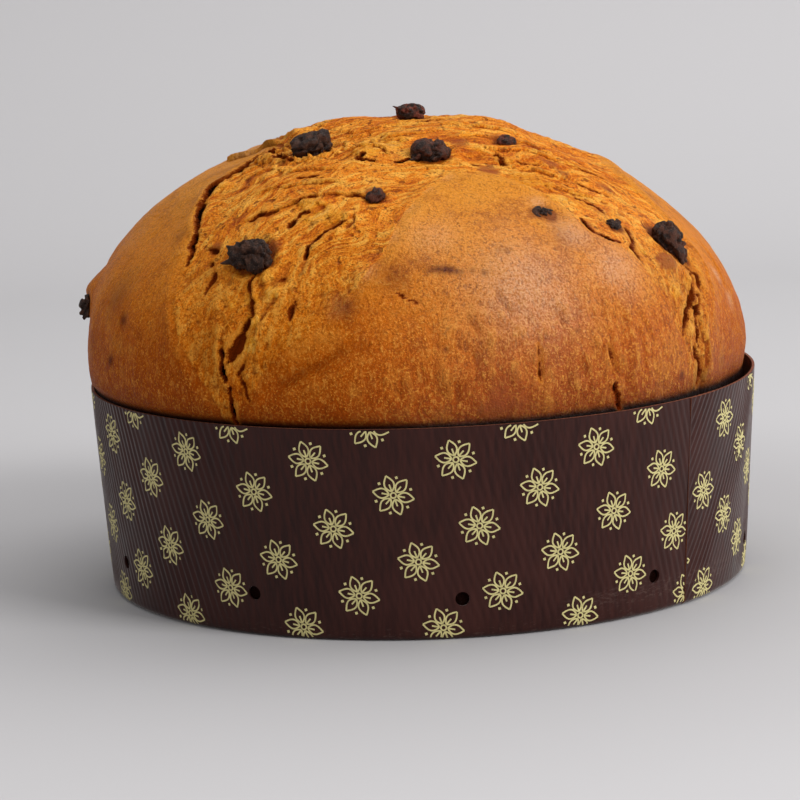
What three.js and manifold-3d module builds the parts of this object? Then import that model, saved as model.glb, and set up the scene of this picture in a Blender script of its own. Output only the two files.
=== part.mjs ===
// A low, round panettone in its paper baking case, with raisins baked into the crust.
// Millimetres, +Z up, front towards -Y. The origin is the middle of the case's foot.
import * as THREE from 'three';
import { mergeVertices } from 'three/addons/utils/BufferGeometryUtils.js';
import Module from 'manifold-3d';

// Paper case
const caseHeight = 66.5;
const rimRadius = 109.4;
const footRadius = 105.2;
const footCorner = 2.2;
const paperThickness = 0.8;
const lapAzimuth = 49;
const lapWidth = 14;
const lapStep = 0.4;
const lapEdge = 0.15;
const caseColumns = 90;

// Vent holes, evenly round the foot of the case
const ventCount = 10;
const ventRadius = 2.2;
const ventSides = 14;
const ventHeight = 12.9;
const ventTilt = 1.4;
const firstVentAzimuth = -31.1;

// Loaf: the dome swells from a point above the middle of the rim
const breadGap = 0.35;
const domeX = -1.8;
const domeZ = 78.4;
const domeRadius = 108.3;
const domeRise = 72.4;
const domeDrop = 98;
const domePower = 1.88;
const rimRise = -6.3;
const overhangStart = 67.4;
const overhangSlope = 0.8;
const loosePaperDepth = 22;
const loafCorner = 4;
const frontSpan = 88.5;
const frontColumns = 60;
const backColumns = 30;

// Crust: four skin lobes stand above the torn bread between them
const lobeStep = 1.4;
const mmPerDegree = 1.7;
const lobeEdge = 4.5;
const lipHeight = 0.6;
const lipWidth = 3.5;
const lumps = [
  { height: 0.55, across: 0.047, along: 0.052, up: 0.104, sway: 0.03, shift: 1.3 },
  { height: 0.3, across: 0.118, along: 0.131, up: 0.185, sway: 0.03, shift: 4.2 },
];

// Every place on the crust is [azimuth, rise] in degrees: azimuth 0 is the front and
// 90 the right side, and rise is the climb from the dome's centre, 90 at the top.
const lobes = [
  [[-31, -32], [-30.5, -4], [-22, 6.5], [-13, 13], [-5, 24.5], [0.5, 36], [12, 45.5],
    [24, 45.5], [33, 37], [38, 25], [45, 18.5], [48, 8], [52, -5], [53, -32], [11, -44]],
  [[57, -32], [56.5, 0], [60, 9], [65.5, 18], [71, 29], [80, 38], [102, 42], [128, 37],
    [139, 20], [143, -32], [100, -46]],
  [[149, -32], [150, 16], [161, 40], [183, 50], [206, 44], [217, 22], [222, -32], [186, -46]],
  [[229, -32], [229, 20], [240, 42], [262, 57], [288, 54], [294, 41], [300, 33.5],
    [309, 22], [312.5, 14], [317, 7], [321, 2], [326, -4], [327, -32], [278, -48]],
];

// Swellings and dents: place, height and reach in mm
const swellings = [
  { at: [-92, 26], height: 2.6, reach: 30 },
  { at: [-92, -1], height: -5.4, reach: 19 },
  { at: [-88, 10], height: 3.2, reach: 8 },
  { at: [-90, 17], height: -1.2, reach: 6 },
  { at: [-92, 49], height: -2.2, reach: 18 },
  { at: [-95, 68], height: 2.6, reach: 20 },
  { at: [72, 68], height: 2.2, reach: 20 },
  { at: [84, 53], height: -2.4, reach: 15 },
  { at: [90, 18], height: -2.6, reach: 32 },
  { at: [-8, 1], height: 1, reach: 20 },
  { at: [16, 24], height: 1, reach: 34 },
];

// Creases and ridges in the skin: line, height and reach in mm
const folds = [
  { line: [[-27, -1], [-19.5, 2], [-12, 6], [-7, 8]], height: -1.8, reach: 6 },
  { line: [[-49, 17], [-45.5, 10], [-42, 3]], height: 0.9, reach: 5 },
  { line: [[10, 44], [0, 34], [-5.5, 24.5], [-14, 13]], height: 0.7, reach: 5 },
  { line: [[67, 25], [62.5, 12], [59, 4]], height: 0.7, reach: 5 },
];

// Cracks: line, width and depth in mm
const cracks = [
  { line: [[-71, 51], [-67, 45], [-66, 38.5], [-59, 31], [-52, 24.5], [-49.5, 20]], width: 1.9, depth: 3.4 },
  { line: [[-80, 52], [-72.5, 55], [-69, 59.5]], width: 1.6, depth: 2.4 },
  { line: [[-43, 22], [-41, 18.5], [-41, 14.5]], width: 1.1, depth: 1.8 },
  { line: [[-39, 31.5], [-34.5, 33.5]], width: 2.2, depth: 2.2 },
  { line: [[-28, 28.5], [-26.5, 33]], width: 1.8, depth: 2.2 },
  { line: [[-15, 30], [-21, 26.5], [-21.5, 22.5]], width: 1.2, depth: 1.8 },
  { line: [[-30.5, 9.5], [-32.5, 5]], width: 2.8, depth: 3 },
  { line: [[-33.5, 3], [-32, -0.5], [-31.5, -5]], width: 1.2, depth: 2.2 },
  { line: [[38.5, 28], [39.5, 24], [44, 22]], width: 2, depth: 2.8 },
  { line: [[57, 14], [54.2, 8.5], [54.5, 2], [55, -2], [53, -5.5]], width: 2, depth: 2.8 },
  { line: [[10, 79], [40, 76]], width: 1.5, depth: 2 },
  { line: [[33.5, -1.5], [34.5, -5.5]], width: 1.4, depth: 1.6 },
  { line: [[146, 26], [144.5, 12], [147, 1], [146, -5]], width: 2, depth: 2.8 },
  { line: [[-135, 30], [-133, 14], [-135.5, 3], [-134, -5]], width: 2, depth: 2.8 },
];

const crackStep = 6;
const crackTip = 0.3;
const crackStand = 0.8;

// Raisins: place, half length, half width and half thickness in mm, the turn of the
// long side from level, how far the middle stands above the crust, and the facet level
const raisins = [
  { name: 'raisin_front_left', at: [-34, 22.5], half: [8.8, 5.6, 4.4], turn: -4, stand: 0.8, level: 2 },
  { name: 'raisin_top_left', at: [-46, 56.5], half: [6.2, 5.4, 4.2], turn: 24, stand: 1.6, level: 2 },
  { name: 'raisin_top_middle', at: [9, 55.5], half: [6.2, 5.2, 4], turn: 6, stand: 0.9, level: 2 },
  { name: 'raisin_summit', at: [8, 85], half: [4.8, 4, 2.8], turn: -6, stand: 2, level: 1 },
  { name: 'raisin_middle', at: [-9.5, 38], half: [3, 2.6, 2.4], turn: 40, stand: 0.5, level: 1 },
  { name: 'raisin_half_buried', at: [30.5, 30], half: [4.6, 3.2, 3], turn: -22, stand: -0.6, level: 1 },
  { name: 'raisin_right_small', at: [46.5, 25.5], half: [3.2, 2.4, 2.4], turn: -10, stand: 0.2, level: 1 },
  { name: 'raisin_right_crevice', at: [58.5, 19.5], half: [8, 4.6, 4.2], turn: 108, stand: 0.4, level: 2 },
  { name: 'raisin_left_edge', at: [-86, 7.5], half: [4.2, 3.2, 3], turn: 100, stand: 0, level: 1 },
  { name: 'raisin_top_right', at: [47, 57.5], half: [3.6, 2.4, 2.2], turn: -16, stand: 0, level: 1 },
  { name: 'raisin_back_left', at: [-147, 30], half: [7, 5, 4], turn: 30, stand: 0.9, level: 2 },
  { name: 'raisin_back_middle', at: [172, 22], half: [5.2, 4, 3.4], turn: -35, stand: 0.4, level: 1 },
  { name: 'raisin_back_right', at: [152, 37], half: [6, 4.6, 3.8], turn: 12, stand: 1, level: 2 },
  { name: 'raisin_right_side', at: [120, 12], half: [4.4, 3.2, 3], turn: 70, stand: 0.2, level: 1 },
  { name: 'raisin_left_side', at: [-118, 26], half: [5, 3.6, 3.2], turn: -50, stand: 0.4, level: 1 },
  { name: 'raisin_back_high', at: [-168, 50], half: [4.6, 4, 3.2], turn: 80, stand: 0.9, level: 1 },
];

const pucker = 0.08;
// A socket is this much wider than the gap, to keep the gap between flat facets too
const socketSpare = 0.1;

const radians = THREE.MathUtils.degToRad;
const smooth = THREE.MathUtils.smoothstep;
const bump = (distance, reach) => Math.exp(-((distance / reach) ** 2));

function domeReach(rise) {
  const across = Math.abs(Math.cos(rise)) / domeRadius;
  const up = Math.abs(Math.sin(rise)) / (rise < 0 ? domeDrop : domeRise);
  return (across ** domePower + up ** domePower) ** (-1 / domePower);
}

// Direction out of the dome's centre, from azimuth and rise in degrees
function outward([azimuth, rise]) {
  const a = radians(azimuth);
  const t = radians(rise);
  return new THREE.Vector3(Math.cos(t) * Math.sin(a), -Math.cos(t) * Math.cos(a), Math.sin(t));
}

function onDome(place, lift = 0) {
  const point = outward(place).multiplyScalar(domeReach(radians(place[1])) + lift);
  return point.add(new THREE.Vector3(domeX, 0, domeZ));
}

function lineDistance(point, corners) {
  let nearest = Infinity;
  const foot = new THREE.Vector3();
  for (let i = 1; i < corners.length; i += 1) {
    new THREE.Line3(corners[i - 1], corners[i]).closestPointToPoint(point, true, foot);
    nearest = Math.min(nearest, foot.distanceTo(point));
  }
  return nearest;
}

// The crust seen from above and rolled flat, in mm of climb
function flattened([azimuth, rise]) {
  const reach = (90 - rise) * mmPerDegree;
  return new THREE.Vector2(reach * Math.sin(radians(azimuth)), -reach * Math.cos(radians(azimuth)));
}

// Distance in from the edge of an outline on the flattened crust, negative outside
function depthInside(point, outline) {
  let inside = false;
  let nearest = Infinity;
  outline.forEach((a, i) => {
    const b = outline[(i + 1) % outline.length];
    const along = b.clone().sub(a);
    const share = THREE.MathUtils.clamp(point.clone().sub(a).dot(along) / along.lengthSq(), 0, 1);
    nearest = Math.min(nearest, a.clone().addScaledVector(along, share).distanceTo(point));
    if (a.y > point.y !== b.y > point.y && point.x < a.x + (along.x * (point.y - a.y)) / along.y) {
      inside = !inside;
    }
  });
  return inside ? nearest : -nearest;
}

const lobeOutlines = lobes.map((outline) => outline.map(flattened));
const swellingCentres = swellings.map(({ at }) => onDome(at));
const foldLines = folds.map(({ line }) => line.map((place) => onDome(place)));

function crustRelief(place) {
  const point = onDome(place);
  const flat = flattened(place);
  const inside = Math.max(...lobeOutlines.map((outline) => depthInside(flat, outline)));
  let relief = lobeStep * (smooth(inside, -lobeEdge, lobeEdge) - 0.5);
  relief += lipHeight * bump(inside - lipWidth, lipWidth);
  lumps.forEach(({ height, across, along, up, sway, shift }) => {
    const wave = Math.sin(across * point.x + shift) * Math.sin(along * point.y + 2 * shift);
    relief += height * (wave + Math.sin(up * point.z + shift + sway * point.x));
  });
  swellings.forEach(({ height, reach }, i) => {
    relief += height * bump(point.distanceTo(swellingCentres[i]), reach);
  });
  folds.forEach(({ height, reach }, i) => {
    relief += height * bump(lineDistance(point, foldLines[i]), reach);
  });
  return relief;
}

// The crust, held inside the case at the rim
function onCrust(place, lift = 0) {
  const point = onDome(place, crustRelief(place) + lift);
  const room = rimRadius - paperThickness - breadGap;
  const limit = room + overhangSlope * Math.max(0, point.z - overhangStart);
  const reach = Math.hypot(point.x, point.y);
  if (reach > limit) {
    point.x *= limit / reach;
    point.y *= limit / reach;
  }
  return point;
}

// Whether a four-cornered facet lies flatter when split from its lower left corner
function flatterAcross(lower, above, i) {
  const next = (i + 1) % lower.length;
  const [a, b, c, d] = [lower[i], lower[next], above[next], above[i]];
  const facing = (p, q, r) => new THREE.Triangle(p, q, r).getNormal(new THREE.Vector3());
  return facing(a, b, c).dot(facing(a, c, d)) > facing(a, b, d).dot(facing(b, c, d));
}

// Closed body from rings of points, each ring one full turn, between a bottom and a top point
function bodyFromRings(bottom, rings, top) {
  const positions = [bottom, ...rings.flat(), top].flatMap((p) => [p.x, p.y, p.z]);
  const indices = [];
  const last = positions.length / 3 - 1;
  let start = 1;
  rings.forEach((ring, level) => {
    const count = ring.length;
    const at = (i) => start + (i % count);
    const next = rings[level + 1];
    for (let i = 0; i < count; i += 1) {
      if (level === 0) indices.push(0, at(i + 1), at(i));
      if (!next) indices.push(at(i), at(i + 1), last);
    }
    if (!next) return;
    const above = start + count;
    const upper = (i) => above + (i % next.length);
    const ratio = count / next.length;
    for (let i = 0; i < next.length; i += 1) {
      const leaning = ratio === 1 && flatterAcross(ring, next, i);
      for (let k = 0; k < ratio; k += 1) {
        indices.push(at(i * ratio + k), at(i * ratio + k + 1), upper(leaning ? i + 1 : i));
      }
      indices.push(leaning ? at(i) : at((i + 1) * ratio), upper(i + 1), upper(i));
    }
    start = above;
  });
  const geometry = new THREE.BufferGeometry();
  geometry.setAttribute('position', new THREE.Float32BufferAttribute(positions, 3));
  geometry.setIndex(indices);
  return geometry;
}

const wasm = await Module();
wasm.setup();

function toManifold(geometry) {
  const bare = geometry.clone();
  bare.deleteAttribute('normal');
  bare.deleteAttribute('uv');
  const merged = mergeVertices(bare, 1e-4);
  return new wasm.Manifold(new wasm.Mesh({
    numProp: 3,
    vertProperties: new Float32Array(merged.attributes.position.array),
    triVerts: new Uint32Array(merged.index.array),
  }));
}

function toGeometry(manifold) {
  const mesh = manifold.getMesh();
  const geometry = new THREE.BufferGeometry();
  geometry.setAttribute('position', new THREE.BufferAttribute(mesh.vertProperties, 3));
  geometry.setIndex(new THREE.BufferAttribute(mesh.triVerts, 1));
  geometry.computeVertexNormals();
  return geometry;
}

const polar = (azimuth, radius, z) => new THREE.Vector3(
  radius * Math.sin(radians(azimuth)),
  -radius * Math.cos(radians(azimuth)),
  z,
);
const spread = (from, to, step) => Array.from(
  { length: Math.round((to - from) / step) + 1 },
  (_, i) => from + i * step,
);

// Outside of the paper wall at a height: a cone that opens towards the rim
const wallSlope = (rimRadius - footRadius) / (caseHeight - footCorner);
const wallRadius = (z) => footRadius + wallSlope * (z - footCorner);

function caseGeometry() {
  const step = 360 / caseColumns;
  const even = spread(lapAzimuth, lapAzimuth + 360 - step, step);
  const azimuths = even.concat(lapAzimuth + 360 - lapEdge);
  // The outer ply of the side seam is one paper thicker and fades into the wall
  const lap = (azimuth) => lapStep * (1 - smooth(azimuth - lapAzimuth, 0, lapWidth));
  const ring = (radius, z, share) => azimuths.map(
    (azimuth) => polar(azimuth, radius + share * lap(azimuth), z),
  );
  const innerCorner = footCorner - paperThickness;
  const innerFloor = footRadius - footCorner;
  const rings = [ring(footRadius - footCorner, 0, 0)];
  for (const bend of [30, 60, 90]) {
    const out = footCorner * Math.sin(radians(bend));
    const up = footCorner * (1 - Math.cos(radians(bend)));
    rings.push(ring(footRadius - footCorner + out, up, bend / 90));
  }
  rings.push(ring(rimRadius, caseHeight, 1));
  rings.push(ring(rimRadius - paperThickness, caseHeight, 0));
  for (const bend of [90, 45, 0]) {
    const out = innerCorner * Math.sin(radians(bend));
    const up = paperThickness + innerCorner * (1 - Math.cos(radians(bend)));
    rings.push(ring(innerFloor + out, up, 0));
  }
  return bodyFromRings(new THREE.Vector3(), rings, new THREE.Vector3(0, 0, paperThickness));
}

function ventGeometry(index) {
  const azimuth = firstVentAzimuth + (index * 360) / ventCount;
  const reach = 10 * paperThickness;
  const geometry = new THREE.CylinderGeometry(ventRadius, ventRadius, reach, ventSides);
  geometry.rotateZ(radians(azimuth));
  const height = ventHeight - ventTilt * Math.sin(radians(azimuth));
  const centre = polar(azimuth, wallRadius(height), height);
  return geometry.translate(centre.x, centre.y, centre.z);
}

function loafGeometry() {
  const frontStep = (2 * frontSpan) / (frontColumns - 1);
  const backStep = (360 - 2 * frontSpan) / (backColumns + 1);
  const azimuths = spread(-frontSpan, frontSpan, frontStep)
    .concat(spread(frontSpan + backStep, 360 - frontSpan - backStep, backStep));
  const every = (n) => azimuths.filter((_, i) => i % n === 0);
  const crustRing = (rise, list) => list.map((azimuth) => onCrust([azimuth, rise]));
  const rimRing = crustRing(rimRise, azimuths);
  const room = (z) => wallRadius(z) - paperThickness - breadGap;
  // Below the rim the bread swells out to the paper within a short depth
  const sideRing = (z) => rimRing.map((point, i) => {
    const slack = room(caseHeight) - Math.hypot(point.x, point.y);
    const loose = smooth(z, caseHeight - loosePaperDepth, caseHeight);
    return polar(azimuths[i], room(z) - slack * loose, z);
  });
  const floor = paperThickness + breadGap;
  const corner = room(floor + loafCorner);
  const bend = loafCorner * (1 - Math.SQRT1_2);
  const footRing = azimuths.map((azimuth) => polar(azimuth, corner - loafCorner, floor));
  const cornerRing = azimuths.map((azimuth) => polar(azimuth, corner - bend, floor + bend));
  const rings = [
    footRing,
    cornerRing,
    sideRing(floor + loafCorner),
    sideRing(caseHeight - loosePaperDepth),
    sideRing(caseHeight - loosePaperDepth / 2),
    rimRing,
    ...spread(-4.1, 46, 2.505).map((rise) => crustRing(rise, azimuths)),
    ...spread(49, 70, 3).map((rise) => crustRing(rise, every(2))),
    ...spread(74, 86, 4).map((rise) => crustRing(rise, every(6))),
  ];
  return bodyFromRings(new THREE.Vector3(0, 0, floor), rings, onCrust([0, 90]));
}

// A tapering wedge along a line on the crust, to cut a crack. It stands out of the crust
// by a share of its depth and widens as it does, so the crack has its width at the crust.
function crackGeometry({ line, width, depth }) {
  const curve = new THREE.CatmullRomCurve3(line.map((place) => new THREE.Vector3(...place, 0)));
  const span = onDome(line[0]).distanceTo(onDome(line[line.length - 1]));
  const count = Math.max(3, Math.round(span / crackStep) + 1);
  const places = curve.getPoints(count).map(({ x, y }) => [x, y]);
  const points = places.map((place) => onCrust(place));
  const corners = points.map((point, i) => {
    const out = outward(places[i]);
    const before = points[Math.max(0, i - 1)];
    const after = points[Math.min(count, i + 1)];
    const side = after.clone().sub(before).cross(out).normalize();
    const taper = Math.max(crackTip, Math.sqrt(Math.sin((Math.PI * i) / count)));
    const half = (width / 2) * taper * (1 + crackStand);
    const top = point.clone().addScaledVector(out, depth * crackStand * taper);
    return [
      point.clone().addScaledVector(out, -depth * taper),
      top.clone().addScaledVector(side, half),
      top.clone().addScaledVector(side, -half),
    ];
  });
  const positions = corners.flat().flatMap((p) => [p.x, p.y, p.z]);
  const indices = [0, 1, 2];
  for (let i = 0; i < count; i += 1) {
    for (let k = 0; k < 3; k += 1) {
      const a = i * 3 + k;
      const b = i * 3 + ((k + 1) % 3);
      indices.push(a, a + 3, b, b, a + 3, b + 3);
    }
  }
  const end = count * 3;
  indices.push(end, end + 2, end + 1);
  const geometry = new THREE.BufferGeometry();
  geometry.setAttribute('position', new THREE.Float32BufferAttribute(positions, 3));
  geometry.setIndex(indices);
  return geometry;
}

// A dried, puckered berry; grow lifts its skin evenly, to seat it in the crust with a gap
function raisinGeometry({ at, half, turn, stand, level }, grow) {
  const ball = new THREE.IcosahedronGeometry(1, level);
  ball.deleteAttribute('normal');
  ball.deleteAttribute('uv');
  const geometry = mergeVertices(ball);
  const { position } = geometry.attributes;
  const vertex = new THREE.Vector3();
  for (let i = 0; i < position.count; i += 1) {
    vertex.fromBufferAttribute(position, i);
    const dimple = Math.sin(5 * vertex.x + at[0]) * Math.cos(4 * vertex.y + at[1]);
    const crease = Math.sin(6 * vertex.z + turn);
    vertex.multiplyScalar(1 + pucker * (dimple + crease));
    vertex.multiply(new THREE.Vector3(...half));
    position.setXYZ(i, vertex.x, vertex.y, vertex.z);
  }
  geometry.computeVertexNormals();
  const { normal } = geometry.attributes;
  const lift = new THREE.Vector3();
  for (let i = 0; i < position.count; i += 1) {
    lift.fromBufferAttribute(normal, i);
    vertex.fromBufferAttribute(position, i).addScaledVector(lift, grow);
    position.setXYZ(i, vertex.x, vertex.y, vertex.z);
  }
  const out = outward(at);
  const sideways = new THREE.Vector3(Math.cos(radians(at[0])), Math.sin(radians(at[0])), 0);
  const uphill = out.clone().cross(sideways).normalize();
  geometry.rotateZ(radians(turn));
  geometry.applyMatrix4(new THREE.Matrix4().makeBasis(sideways, uphill, out));
  const centre = onCrust(at, stand);
  return geometry.translate(centre.x, centre.y, centre.z);
}

const group = new THREE.Group();
group.name = 'panettone';

function addPart(name, geometry, color, roughness) {
  const material = new THREE.MeshStandardMaterial({ name, color, roughness });
  const mesh = new THREE.Mesh(geometry, material);
  mesh.name = name;
  group.add(mesh);
}

let paperCase = toManifold(caseGeometry());
for (let i = 0; i < ventCount; i += 1) paperCase = paperCase.subtract(toManifold(ventGeometry(i)));
addPart('paper_case', toGeometry(paperCase), 0x2c1c16, 0.5);

let loaf = toManifold(loafGeometry());
cracks.forEach((crack) => { loaf = loaf.subtract(toManifold(crackGeometry(crack))); });
raisins.forEach((raisin) => {
  loaf = loaf.subtract(toManifold(raisinGeometry(raisin, breadGap + socketSpare)));
});
addPart('loaf', toGeometry(loaf), 0xa8622a, 0.6);

raisins.forEach((raisin) => addPart(raisin.name, raisinGeometry(raisin, 0), 0x33211b, 0.5));

export default group;
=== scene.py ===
import math

import bpy
import numpy as np
from mathutils import Matrix, Vector


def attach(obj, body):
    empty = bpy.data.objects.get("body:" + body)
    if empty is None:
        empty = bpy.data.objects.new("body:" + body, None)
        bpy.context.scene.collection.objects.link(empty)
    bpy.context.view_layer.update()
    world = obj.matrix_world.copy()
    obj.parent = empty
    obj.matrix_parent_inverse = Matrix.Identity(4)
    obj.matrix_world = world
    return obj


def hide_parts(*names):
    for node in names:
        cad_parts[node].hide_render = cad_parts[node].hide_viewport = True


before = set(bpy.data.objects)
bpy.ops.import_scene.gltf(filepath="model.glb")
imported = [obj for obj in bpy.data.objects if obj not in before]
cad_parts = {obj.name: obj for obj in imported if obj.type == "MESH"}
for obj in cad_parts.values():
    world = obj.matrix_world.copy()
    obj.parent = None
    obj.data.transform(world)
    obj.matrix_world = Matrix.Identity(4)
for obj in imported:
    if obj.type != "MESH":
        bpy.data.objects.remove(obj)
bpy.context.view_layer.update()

mm = 0.001  # everything below is worked out in mm and scaled once, in addMesh


def fromHex(code):  # sRGB hex to linear
    parts = [int(code[i:i + 2], 16) / 255 for i in (0, 2, 4)]
    return [p / 12.92 if p < 0.04045 else ((p + 0.055) / 1.055) ** 2.4 for p in parts] + [1]


def smooth(x, low, high):
    t = np.clip((x - low) / (high - low), 0, 1)
    return t * t * (3 - 2 * t)


def hill(distance, reach):
    return np.exp(-((distance / reach) ** 2))


def grain(points, size, seed=0):  # lumps of about size mm, from -1 to 1
    p = points / size + seed * 17.31
    cell = np.floor(p).astype(np.int64)
    f = p - cell
    f = f * f * (3 - 2 * f)
    keys = [(cell[:, i] * k, (cell[:, i] + 1) * k) for i, k in enumerate((73856093, 19349663, 83492791))]
    share = [(1 - f[:, i], f[:, i]) for i in range(3)]
    total = np.zeros(len(p))
    for i, j, k in np.ndindex(2, 2, 2):
        h = (keys[0][i] ^ keys[1][j] ^ keys[2][k] ^ (seed + 7) * 2654435761) & 0xffffffff
        h = ((h ^ (h >> 13)) * 1274126177) & 0xffffffff
        total += share[0][i] * share[1][j] * share[2][k] * (((h ^ (h >> 16)) & 0xffff) / 32767.5 - 1)
    return total


def layered(points, size, seed=0, layers=3, keep=0.5):
    parts = [keep ** i * grain(points, size / 2 ** i, seed + i) for i in range(layers)]
    return sum(parts) / sum(keep ** i for i in range(layers))


def throughPoints(corners, count):  # a soft curve through a few places
    c = np.array(corners, float)
    c = np.vstack([2 * c[0] - c[1], c, 2 * c[-1] - c[-2]])
    out = []
    for s in np.linspace(0, len(corners) - 1 - 1e-9, count):
        i, t = int(s), s % 1
        a, b, d, e = c[i:i + 4]
        out.append(0.5 * (2 * b + (d - a) * t + (2 * a - 5 * b + 4 * d - e) * t ** 2
                          + (3 * b - a - 3 * d + e) * t ** 3))
    return np.array(out)


def ringFaces(counts):  # faces between rings of points; a ring may thin out by a whole number
    faces, start = [], 0
    for low, high in zip(counts, counts[1:]):
        above = start + low
        step = max(1, low // high)
        grow = max(1, high // low)
        for i in range(min(low, high)):
            a, b = start + i * step, start + (i + 1) * step % low
            c, d = above + (i + 1) * grow % high, above + i * grow
            if step == grow == 1:
                faces.append((a, b, c, d))
            elif step > 1:
                faces += [(a + k, start + (i * step + k + 1) % low, d) for k in range(step)]
                faces.append((b, c, d))
            else:
                faces += [(a, above + (i * grow + k + 1) % high, d + k) for k in range(grow)]
                faces.append((a, b, c))
        start = above
    return faces


def addMesh(name, points, faces, material, flat=False):
    mesh = bpy.data.meshes.new(name)
    mesh.from_pydata((np.asarray(points) * mm).tolist(), [], faces)
    mesh.polygons.foreach_set("use_smooth", [not flat] * len(mesh.polygons))
    mesh.materials.append(material)
    thing = bpy.data.objects.new(name, mesh)
    bpy.context.scene.collection.objects.link(thing)
    return thing


def store(thing, **values):  # one number per point, for the material to read
    for name, value in values.items():
        spot = thing.data.attributes.new(name, "FLOAT", "POINT")
        spot.data.foreach_set("value", np.asarray(value, np.float32))


def feed(tree, socket, value):  # a link, a hex colour or a plain value
    if isinstance(value, bpy.types.NodeSocket):
        tree.links.new(value, socket)
    else:
        socket.default_value = fromHex(value) if isinstance(value, str) else value


def node(tree, kind, *values, named=None, out=None, stops=None, **settings):
    made = tree.nodes.new("ShaderNode" + kind)
    for name, value in settings.items():
        setattr(made, name, value)
    if stops:
        while len(made.color_ramp.elements) < len(stops):
            made.color_ramp.elements.new(0.5)
        for element, (spot, code) in zip(made.color_ramp.elements, stops):
            element.position, element.color = spot, fromHex(code)
    for socket, value in zip([s for s in made.inputs if s.enabled], values):
        feed(tree, socket, value)
    for name, value in (named or {}).items():
        feed(tree, made.inputs[name], value)
    return made.outputs[out] if out else next(s for s in made.outputs if s.enabled)


def newMaterial(name):
    material = bpy.data.materials.new(name)
    material.use_nodes = True
    return material, material.node_tree


def finishMaterial(tree, values):
    for name, value in values.items():
        feed(tree, tree.nodes["Principled BSDF"].inputs[name], value)


def softShare(tree, *parts):  # a product; a tuple is a soft step: value, low, high, start, end
    total = None
    for part in parts:
        if isinstance(part, tuple):
            part = node(tree, "MapRange", *part, interpolation_type="SMOOTHSTEP")
        total = part if total is None else node(tree, "Math", total, part, operation="MULTIPLY")
    return total


def mixture(tree, *parts):  # a sum of (value, weight)
    total = 0.0
    for value, weight in parts:
        total = node(tree, "Math", value, weight, total, operation="MULTIPLY_ADD")
    return total


def paint(tree, color, layers):  # each layer is a colour and the parts of its share
    for over, *parts in layers:
        color = node(tree, "Mix", softShare(tree, *parts), color, over, data_type="RGBA")
    return color


def speckle(tree, size, detail=2.0, rough=0.5, stretch=None, swirl=0.0, spot=None):  # size in mm
    spot = spot or node(tree, "TexCoord", out="Object")
    if stretch:
        spot = node(tree, "Mapping", named={"Vector": spot, "Scale": stretch})
    return node(tree, "TexNoise", named={"Vector": spot, "Scale": 1 / (size * mm), "Detail": detail,
                                         "Roughness": rough, "Distortion": swirl})


# the plain dome that the crust is worked on
dome = {"x": -1.8, "z": 78.4, "radius": 108.3, "rise": 72.4, "drop": 98, "power": 1.88}


def outward(azimuth, rise):
    a, t = np.radians(azimuth), np.radians(rise)
    return np.stack([np.cos(t) * np.sin(a), -np.cos(t) * np.cos(a), np.sin(t) + 0 * a], -1)


def onDome(azimuth, rise, lift=0.0):
    t = np.radians(rise)
    tall = np.where(t < 0, dome["drop"], dome["rise"])
    reach = (np.abs(np.cos(t) / dome["radius"]) ** dome["power"]
             + np.abs(np.sin(t) / tall) ** dome["power"]) ** (-1 / dome["power"])
    return outward(azimuth, rise) * np.expand_dims(reach + lift, -1) + [dome["x"], 0, dome["z"]]


def flattened(azimuth, rise):  # the crust from above, rolled flat
    reach = (90 - rise) * 1.7
    a = np.radians(azimuth)
    return np.stack([reach * np.sin(a), -reach * np.cos(a)], -1)


def depthInside(points, outline):
    inside = np.zeros(len(points), bool)
    nearest = np.full(len(points), 1e9)
    for a, b in zip(outline, np.roll(outline, -1, 0)):
        along = b - a
        share = np.clip((points - a) @ along / (along @ along), 0, 1)
        nearest = np.minimum(nearest, np.linalg.norm(points - a - share[:, None] * along, axis=1))
        crosses = (a[1] > points[:, 1]) != (b[1] > points[:, 1])
        inside ^= crosses & (points[:, 0] < a[0] + along[0] * (points[:, 1] - a[1]) / (along[1] or 1e-9))
    return np.where(inside, nearest, -nearest)


def lineGap(points, out, line):  # distance to a line on the crust, how far along, which side
    nearest = np.full(len(points), 1e9)
    share = np.zeros(len(points))
    side = np.ones(len(points))
    for i, (a, b) in enumerate(zip(line, line[1:])):
        along = b - a
        t = np.clip((points - a) @ along / (along @ along), 0, 1)
        away = points - a - t[:, None] * along
        gap = np.linalg.norm(away, axis=1)
        closer = gap < nearest
        nearest[closer] = gap[closer]
        share[closer] = (i + t[closer]) / (len(line) - 1)
        side[closer] = np.sign(np.sum(np.cross(along, away) * out, axis=1))[closer]
    return nearest, share, side


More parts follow.
